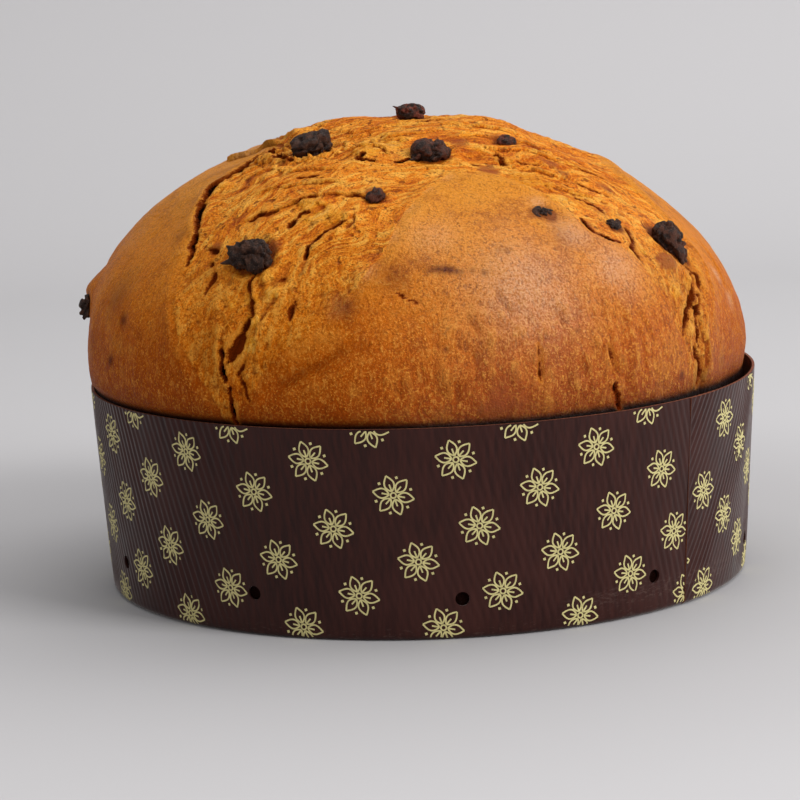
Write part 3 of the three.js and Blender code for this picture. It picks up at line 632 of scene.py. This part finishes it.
def buildLoaf():
    columns = np.concatenate([np.arange(-100, -76, 0.8), np.arange(-76, -4, 0.34), np.arange(-4, 30, 0.55),
                              np.arange(30, 76, 0.36), np.arange(76, 100, 0.8)])
    back = 8 - len(columns) % 8 + 104
    columns = np.concatenate([columns, 100 + (np.arange(back) + 0.5) * 160 / back])
    rises = [np.arange(loaf["rimRise"], 56, 0.46), np.arange(56, 74, 0.46), np.arange(74, 90, 0.5)]
    azimuths, heights, counts = [], [], []
    for rows, thin in zip(rises, (1, 2, 4)):
        for rise in rows:
            ring = columns[::thin]
            azimuths.append(ring)
            heights.append(np.full(len(ring), rise))
            counts.append(len(ring))
    azimuths, heights = np.concatenate(azimuths + [[0.0]]), np.concatenate(heights + [[90.0]])
    points, marks = crustShape(azimuths, heights)

    # how far each point lies below the ones round it, for painted shade in the crevices and painted
    # highlights on the ridges
    relief, hollow, start = marks.pop("relief"), np.zeros(len(points)), 0
    for count in sorted(set(counts), reverse=True):
        block = relief[start:start + count * counts.count(count)].reshape(-1, count)
        rows = np.pad(block, ((3, 3), (0, 0)), mode="edge")
        rows = sum(rows[i:i + len(block)] for i in range(7)) / 7
        mean = sum(np.roll(rows, i, 1) for i in range(-4, 5)) / 9
        hollow[start:start + block.size] = (mean - block).ravel()
        start += block.size
    marks["hollow"] = hollow

    # inside the case the bread swells out to the paper
    rim = points[:counts[0]]
    rimReach = np.hypot(rim[:, 0], rim[:, 1])
    lower, lowCounts = [], []
    floor = paper["thick"] + loaf["gap"]
    for z in (floor, floor + 1.2, floor + 4, 25, 44.5, 50, 56, 62):
        inset = {floor: 4, floor + 1.2: 1.2}.get(z, 0)  # the bottom edge is rounded
        room = wallRadius(z) - paper["thick"] - loaf["gap"] - inset
        slack = wallRadius(paper["height"]) - paper["thick"] - loaf["gap"] - rimReach
        reach = room - slack * smooth(z, paper["height"] - 22, paper["height"])
        across = rim[:, :2] * (reach / rimReach)[:, None]
        lower.append(np.column_stack([across, reach * 0 + z])[::2])
        lowCounts.append(len(lower[-1]))
    lowPoints = np.vstack(lower)
    allPoints = np.vstack([[[0, 0, floor]], lowPoints, points])
    faces = [(0, 1 + (i + 1) % lowCounts[0], 1 + i) for i in range(lowCounts[0])]
    faces += [tuple(v + 1 for v in f) for f in ringFaces(lowCounts + counts)]
    top, last = len(allPoints) - 1, len(allPoints) - 1 - counts[-1]
    faces += [(last + i, last + (i + 1) % counts[-1], top) for i in range(counts[-1])]
    thing = addMesh("loaf_crust", allPoints, faces, crustMaterial())
    for name, value in marks.items():
        far = {"crackGap": 6.0, "fruitGap": 12.0}.get(name, 0.0)
        store(thing, **{name: np.concatenate([np.full(len(lowPoints) + 1, far), value])})
    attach(thing, "root")
    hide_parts("loaf")
    return thing


def wallRadius(z):
    slope = (paper["rim"] - paper["foot"]) / (paper["height"] - paper["corner"])
    return paper["foot"] + slope * (np.maximum(z, paper["corner"]) - paper["corner"])


def leanOf(start):  # degrees by which the flutes lean, measured from the sheet's left cut
    return np.interp(start, [49, 285, 409], [33, -19, -18])


def fluteLine(start, z):
    return start + np.degrees(z * np.tan(np.radians(leanOf(start))) / wallRadius(z))


def caseSurface(azimuth, z, lift=0.0, inner=False):  # azimuth from 49, the cut edge, to 409
    start = azimuth
    for _ in range(5):  # back along the leaning flute to where it starts at the foot
        start = azimuth - (fluteLine(start, z) - start)
    wave = np.cos(np.radians(paper["flutes"] * (start - paper["lap"])))
    place = np.stack([start * 1.85, z * 0.25 + 0 * start, 0 * start], -1)
    strength = paper["fluteDepth"] * (1 + 0.8 * grain(place, 11, 80)) * smooth(z, 1, 6)
    strength = strength * (1 - 0.6 * smooth(azimuth, 322, 345))  # the front is pressed flatter
    radius = wallRadius(z) + strength * wave + lift
    if not inner:
        radius = radius + 0.22 * grain(place, 17, 81) * smooth(z, 3, 14) * smooth(z, 66, 56)
        crease = hill(z - paper["creaseHeight"] - 0.11 * (azimuth - 395) - 0.6 * grain(place, 6, 82), 0.6)
        radius = radius - 0.3 * crease * smooth(azimuth, 382, 388) * smooth(azimuth, 408, 404)
    if inner:
        radius = radius - paper["thick"]
    else:
        radius = radius + paper["lapStep"] * (1 - smooth(azimuth - paper["lap"], 0, paper["lapWidth"]))
    corner = paper["corner"]
    sink = np.clip(corner - z, 0, corner)
    radius = radius - (corner - np.sqrt(np.maximum(corner ** 2 - sink ** 2, 0)))
    a = np.radians(azimuth)
    return np.stack([radius * np.sin(a), -radius * np.cos(a), z + 0 * a], -1)


def paperMaterials():
    # coated dark brown paper: satin, so the flutes show as streaks of light
    coated, tree = newMaterial("coated_brown_paper")
    grainy = speckle(tree, 1.6, 3, 0.6, (1, 1, 0.12))
    broad = speckle(tree, 30)
    wear = speckle(tree, 2.4, 4, 0.75, (1, 1, 3))
    x, _, z = node(tree, "SeparateXYZ", node(tree, "TexCoord", out="Object")).node.outputs
    scuff = softShare(tree, (wear, 0.56, 0.64), (z, 0.006, 0.001))  # round the foot
    rubbed = softShare(tree, (z, 0.012, 0.0095), (z, 0.004, 0.006), (x, 0.035, 0.05), (wear, 0.5, 0.62))
    color = paint(tree, "2a1310", [
        ("391b16", (grainy, 0.3, 0.7)),
        ("42221d", (broad, 0.4, 0.7, 0, 0.4)),
        ("6e5a52", node(tree, "Math", scuff, rubbed, operation="MAXIMUM"), 0.25),
    ])
    finishMaterial(tree, {
        "Base Color": color,
        "Roughness": softShare(tree, (grainy, 0.35, 0.65, 0.3, 0.46)),
        "Normal": node(tree, "Bump", named={"Height": grainy, "Distance": 0.12 * mm, "Strength": 0.6}),
        "IOR": 1.5, "Specular IOR Level": 0.16,
        "Sheen Weight": 0.45, "Sheen Roughness": 0.3, "Sheen Tint": "ded4d0",
    })

    # bare kraft paper on the inside and at the cuts: matt, fibrous, reddish from butter
    kraft, tree = newMaterial("buttered_kraft_paper")
    fibres = speckle(tree, 0.8, 4, 0.7, (1, 1, 0.5))
    finishMaterial(tree, {
        "Base Color": paint(tree, "5c2a16", [("8f4d2a", (fibres, 0.3, 0.7))]),
        "Normal": node(tree, "Bump", named={"Height": fibres, "Distance": 0.1 * mm}),
        "Roughness": 0.8,
    })
    return coated, kraft


def buildCase():
    step = 360 / paper["flutes"] / 6
    starts = paper["lap"] + step * np.arange(-98, 1500 + 49)
    rings = []

    def ring(z, inner=False, inset=0.0):
        azimuth = np.clip(fluteLine(starts, z), paper["lap"], paper["lap"] + 360)
        points = caseSurface(azimuth, np.full(len(azimuth), float(z)), -inset, inner)
        rings.append(points)

    thin, corner = paper["thick"], paper["corner"]
    for bend in (0, 25, 50, 70, 90):
        ring(corner * (1 - math.cos(math.radians(bend))))
    for z in np.linspace(corner, paper["height"], 16)[1:]:
        ring(z)
    outer = len(rings)
    for z in (paper["height"], 62, 54, 44, 24, 3):
        ring(z, inner=True)
    ring(thin + 0.01, inner=True, inset=1.05)
    rings[-1][:, 2] = thin
    total = len(starts)
    points = np.vstack([[[0, 0, 0]], rings[0][::9], *rings, rings[-1][::9], [[0, 0, thin]]])
    few = len(starts[::9])
    points[1:few + 1] *= [0.9, 0.9, 1]
    points[-few - 1:-1] *= [0.9, 0.9, 1]
    counts = [few] + [total] * len(rings) + [few]
    faces = [(0, 1 + (i + 1) % few, 1 + i) for i in range(few)]
    faces += [tuple(v + 1 for v in f) for f in ringFaces(counts)]
    last = len(points) - 1
    faces += [(last - few + i, last - few + (i + 1) % few, last) for i in range(few)]
    coated, kraft = paperMaterials()
    thing = addMesh("fluted_paper_case", points, faces, coated)
    thing.data.materials.append(kraft)
    firstInner = 1 + few + outer * total
    for face in thing.data.polygons:
        corners = list(face.vertices)
        seam = abs(corners[0] - corners[1]) > total - 10
        face.material_index = 1 if max(corners) >= firstInner or (seam and min(corners) > few) else 0
    weld = thing.modifiers.new("weld", "WELD")
    weld.merge_threshold = 0.004 * mm
    cutter = ventCutter(coated)
    punch = thing.modifiers.new("vents", "BOOLEAN")
    punch.operation, punch.object, punch.solver = "DIFFERENCE", cutter, "EXACT"
    whole = bpy.data.meshes.new_from_object(thing.evaluated_get(bpy.context.evaluated_depsgraph_get()))
    thing.modifiers.clear()
    thing.data = whole
    whole.set_sharp_from_angle(angle=math.radians(40))
    bpy.data.objects.remove(cutter)
    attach(thing, "root")
    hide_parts("paper_case")
    return thing


def ventCutter(material):
    points, faces = [], []
    for i in range(paper["vents"]):
        azimuth = paper["firstVent"] + i * 360 / paper["vents"]
        height = paper["ventHeight"] - paper["ventTilt"] * math.sin(math.radians(azimuth))
        a = math.radians(azimuth)
        out, level = np.array([math.sin(a), -math.cos(a), 0]), np.array([math.cos(a), math.sin(a), 0])
        start, sides = len(points), 32
        for reach in (102.6, 110):  # from inside the wall to outside it
            for t in np.linspace(0, 2 * np.pi, sides, endpoint=False):
                points.append(out * reach + paper["ventRadius"] * math.cos(t) * level
                              + [0, 0, height + paper["ventRadius"] * math.sin(t)])
        faces.append(tuple(start + k for k in range(sides))[::-1])
        faces.append(tuple(start + sides + k for k in range(sides)))
        faces += [(start + k, start + (k + 1) % sides, start + sides + (k + 1) % sides, start + sides + k)
                  for k in range(sides)]
    return addMesh("vent_cutter", points, faces, material, flat=True)


blossom = {"petals": 6, "inner": 1.3, "outer": 6.4, "width": 1.5, "stroke": 0.5, "ring": 0.85,
           "dot": 0.4, "dotReach": 5.6, "across": 22, "down": 21, "proud": 0.05}


def blossomStrokes():  # lines as (points, closed), in mm about the middle
    strokes = []
    share = np.linspace(0, 1, 11)
    along = blossom["inner"] + (blossom["outer"] - blossom["inner"]) * share
    side = blossom["width"] * np.sin(np.pi * share ** 0.85)
    for k in range(blossom["petals"]):
        turn = 2 * math.pi * k / blossom["petals"]
        c, s = math.cos(turn), math.sin(turn)
        for way in (1, -1):
            strokes.append((np.stack([c * along - way * s * side, s * along + way * c * side], -1), False))
        vein = np.linspace(1.6, 3.6, 5)
        strokes.append((np.stack([c * vein, s * vein], -1), False))
    t = np.linspace(0, 2 * np.pi, 14, endpoint=False)
    strokes.append((blossom["ring"] * np.stack([np.cos(t), np.sin(t)], -1), True))
    return strokes


def inkMaterial():
    # pale gold ink: flat and slightly chalky, thin where the paper's grain shows through
    ink, tree = newMaterial("pale_gold_ink")
    worn = speckle(tree, 0.5, 3, 0.7)
    finishMaterial(tree, {"Base Color": paint(tree, "cdc183", [("8d7f4c", (worn, 0.55, 0.75, 0, 0.5))]),
                          "Roughness": 0.5})
    return ink


def buildPrint():
    points, faces = [], []

    def ribbon(line, closed, azimuth, z, turn, width):
        c, s = math.cos(turn), math.sin(turn)
        line = line @ np.array([[c, s], [-s, c]])
        ahead = np.roll(line, -1, 0) - np.roll(line, 1, 0)
        if not closed:
            ahead[0], ahead[-1] = line[1] - line[0], line[-1] - line[-2]
        side = np.stack([-ahead[:, 1], ahead[:, 0]], -1)
        side *= width / 2 / np.linalg.norm(side, axis=1)[:, None]
        tracks = []
        for edge, lift in ((1, -0.1), (1, blossom["proud"]), (-1, blossom["proud"]), (-1, -0.1)):
            spot = line + edge * side
            height = z + spot[:, 1]
            across = azimuth + np.degrees(spot[:, 0] / wallRadius(height))
            tracks.append((across, height, lift))
        keep = np.all([(a > paper["lap"] + 0.05) & (a < paper["lap"] + 359.95) & (h > 0.5)
                       & (h < paper["height"] - 0.2)
                       for a, h, lift in tracks], 0)
        start = len(points)
        spots = [caseSurface(a, np.clip(h, 0.3, paper["height"] - 0.1), lift) for a, h, lift in tracks]
        points.extend(np.stack(spots, 1).reshape(-1, 3))
        count = len(line)
        for i in range(count if closed else count - 1):
            j = (i + 1) % count
            if keep[i] and keep[j]:
                for k in range(4):
                    m = (k + 1) % 4
                    faces.append((start + 4 * i + k, start + 4 * i + m, start + 4 * j + m, start + 4 * j + k))
                before, after = (i - 1) % count, (j + 1) % count
                if not keep[before] or (not closed and i == 0):
                    faces.append(tuple(start + 4 * i + k for k in (3, 2, 1, 0)))
                if not keep[after] or (not closed and j == count - 1):
                    faces.append(tuple(start + 4 * j + k for k in (0, 1, 2, 3)))

    strokes = blossomStrokes()
    stepAcross = math.degrees(blossom["across"] / 106)  # the wall is about 106 mm from the middle
    for column in range(-1, int(360 / stepAcross) + 4):
        for row in range(-1, 5):
            z = 4 + blossom["down"] * (row + 0.5 * (column % 2))
            start = paper["lap"] + (column + 0.35) * stepAcross
            azimuth = float(fluteLine(start, max(z, 0)))
            if not (paper["lap"] - 4 < azimuth < paper["lap"] + 364 and -6 < z < 73):
                continue
            turn = math.radians(90 - float(leanOf(start)))
            for line, closed in strokes:
                ribbon(line, closed, azimuth, z, turn, blossom["stroke"])
            for k in range(blossom["petals"]):  # a short thick dash between petals reads as a dot
                t = 2 * math.pi * (k + 0.5) / blossom["petals"]
                middle = blossom["dotReach"] * np.array([math.cos(t), math.sin(t)])
                ends = middle + np.outer([-1, -0.4, 0.4, 1], [blossom["dot"], 0])
                ribbon(ends, False, azimuth, z, turn, 2 * blossom["dot"])
    points = np.array(points)
    used = np.unique([v for f in faces for v in f])
    renumber = np.zeros(len(points), int)
    renumber[used] = np.arange(len(used))
    thing = addMesh("printed_blossoms", points[used], [tuple(int(renumber[v]) for v in f) for f in faces],
                    inkMaterial(), flat=True)
    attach(thing, "root")
    return thing


def raisinMaterial():
    # burnt raisin skin: almost black, with a dull gloss on the folds and grey bloom in them
    material, tree = newMaterial("burnt_raisin_skin")
    patches = speckle(tree, 2.6, 3, 0.6)
    fine = speckle(tree, 0.5, 3, 0.6)
    tint = node(tree, "Attribute", out="Fac", attribute_name="tint")
    tone = paint(tree, "43281b", [("6a3324", tint)])
    color = paint(tree, "22120b", [(tone, (patches, 0.42, 0.6)), ("735442", (fine, 0.56, 0.68, 0, 0.5))])
    finishMaterial(tree, {
        "Base Color": color,
        "Roughness": softShare(tree, (patches, 0.35, 0.65, 0.4, 0.7)),
        "Normal": node(tree, "Bump", named={"Height": fine, "Distance": 0.5 * mm, "Strength": 0.9}),
        "IOR": 1.45, "Specular IOR Level": 0.25,
    })
    return material


def buildRaisins():
    material = raisinMaterial()
    # direction and height of the shreds that stick out of a burnt end
    shreds = {"raisin_front_left": [((-1, 0.3, 0.15), 3.6), ((-0.95, -0.35, 0.1), 4.6),
                                    ((-1, 0, 0.3), 2.4), ((-0.8, 0.62, 0.1), 1.6)],
              "raisin_summit": [((-0.9, 0, 0.5), 1.8)], "raisin_top_middle": [((-1, -0.3, -0.1), 2.6)],
              "raisin_middle": [((0.5, 0.9, 0.1), 1.2)]}
    juicy = {"raisin_summit": 1.0, "raisin_right_crevice": 0.15, "raisin_middle": 0.4,
             "raisin_top_middle": 0.3, "raisin_top_right": 0.8}
    for number, (name, (at, half, turn, stand)) in enumerate(raisins.items()):
        bpy.ops.mesh.primitive_ico_sphere_add(subdivisions=5 if max(half) > 4 else 4, radius=1)
        ball = bpy.context.object
        ball.name = ball.data.name = name + "_skin"
        co = np.array([v.co for v in ball.data.vertices], float).reshape(-1, 3)
        small = min(half) / 4
        square = 3.6 if name == "raisin_top_left" else 2.4
        body = co * half / np.linalg.norm(co, square, axis=1)[:, None]
        body *= (1 + 0.24 * layered(body, 5 * small + 1, 100 + number, 2))[:, None]
        folds = 1 - np.abs(layered(body * [0.7, 1, 1], 3.0 * small + 0.7, 120 + number, 3))
        body -= co * (1.5 * small * smooth(folds, 0.76, 1.0))[:, None]
        body += co * (0.55 * small * layered(body, 1.8, 150 + number, 3, 0.6))[:, None]
        for way, height in shreds.get(name, []):
            way = np.array(way) / np.linalg.norm(way)
            body += way * (height * hill(np.linalg.norm(co - way, axis=1), 0.15))[:, None]
        centre, _ = crustShape(np.array([at[0]], float), np.array([at[1]], float))
        body = body @ raisinAxes(at, turn) + centre[0] + outward(*at) * (stand + 0.5)
        ball.data.vertices.foreach_set("co", (body * mm).ravel())
        ball.data.polygons.foreach_set("use_smooth", [True] * len(ball.data.polygons))
        ball.data.materials.append(material)
        ball.data.update()
        store(ball, tint=np.full(len(body), juicy.get(name, 0.0)))
        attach(ball, "root")
        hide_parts(name)


crust = buildLoaf()
print("loaf:", len(crust.data.polygons), "faces")
case = buildCase()
print("case:", len(case.data.polygons), "faces")
blossoms = buildPrint()
print("print:", len(blossoms.data.polygons), "faces")
buildRaisins()
print("raisins:", len(raisins))

# near is the sweep's grey in the painted shadow round the loaf
studio = {"floor": "c5c3c4", "near": "b4b2b3", "back": 700, "bend": 260, "width": 3000, "front": 1300}


def buildStage():
    # matt grey paper sweep, with a painted soft shadow: darker within 0.13 m of the middle, blending to the
    # floor grey by 0.32 m
    sweep, tree = newMaterial("grey_paper_sweep")
    reach = node(tree, "VectorMath", node(tree, "TexCoord", out="Object"), operation="LENGTH")
    color = paint(tree, studio["near"], [(studio["floor"], (reach, 0.13, 0.32))])
    finishMaterial(tree, {"Base Color": color, "Roughness": 0.9})
    profile = [(-studio["front"], 0.0), (studio["back"], 0.0)]
    for bend in range(10, 91, 10):
        b = math.radians(bend)
        profile.append((studio["back"] + studio["bend"] * math.sin(b), studio["bend"] * (1 - math.cos(b))))
    half = studio["width"] / 2
    points = [(x, y, z) for y, z in profile for x in (-half, half)]
    faces = [(2 * i, 2 * i + 1, 2 * i + 3, 2 * i + 2) for i in range(len(profile) - 1)]
    addMesh("paper_sweep", points, faces, sweep)


def addLamp(name, place, size, power, target=(0, 0, 0.07)):
    data = bpy.data.lights.new(name, "AREA")
    data.shape, data.size, data.size_y = "RECTANGLE", size[0], size[1]
    data.energy = power
    lamp = bpy.data.objects.new(name, data)
    bpy.context.scene.collection.objects.link(lamp)
    lamp.location = place
    lamp.rotation_mode = "QUATERNION"
    lamp.rotation_quaternion = (lamp.location - Vector(target)).to_track_quat("Z", "Y")


def buildCamera():
    # the photo's own angle: 1.15 m away, 9.6 degrees above the table, rolled by 2 degrees
    data = bpy.data.cameras.new("camera")
    data.lens, data.sensor_width = 156, 36
    camera = bpy.data.objects.new("camera", data)
    bpy.context.scene.collection.objects.link(camera)
    tip = Matrix.Rotation(math.radians(90 - 9.6), 4, "X")
    roll = Matrix.Rotation(math.radians(-2.06), 4, "Z")
    camera.matrix_world = Matrix.Translation((-0.0078, -1.1339, 0.2487)) @ tip @ roll
    data.clip_start, data.clip_end = 0.05, 20
    bpy.context.scene.camera = camera


buildStage()
addLamp("overhead", (0.2, 0.2, 1.3), (1.5, 1.5), 13)
addLamp("side", (1.2, -0.9, 0.85), (0.7, 0.7), 19)
addLamp("fill", (-1.0, -1.2, 0.8), (1.0, 0.8), 3.5)
addLamp("rim", (1.5, 0.5, 0.4), (0.9, 0.8), 4)
buildCamera()
world = bpy.data.worlds.new("room")
bpy.context.scene.world = world
world.use_nodes = True
world.node_tree.nodes["Background"].inputs[0].default_value = fromHex("d6d6d8")
world.node_tree.nodes["Background"].inputs[1].default_value = 0.37
bpy.context.scene.view_settings.view_transform = "Standard"
print("stage, lamps and camera set")
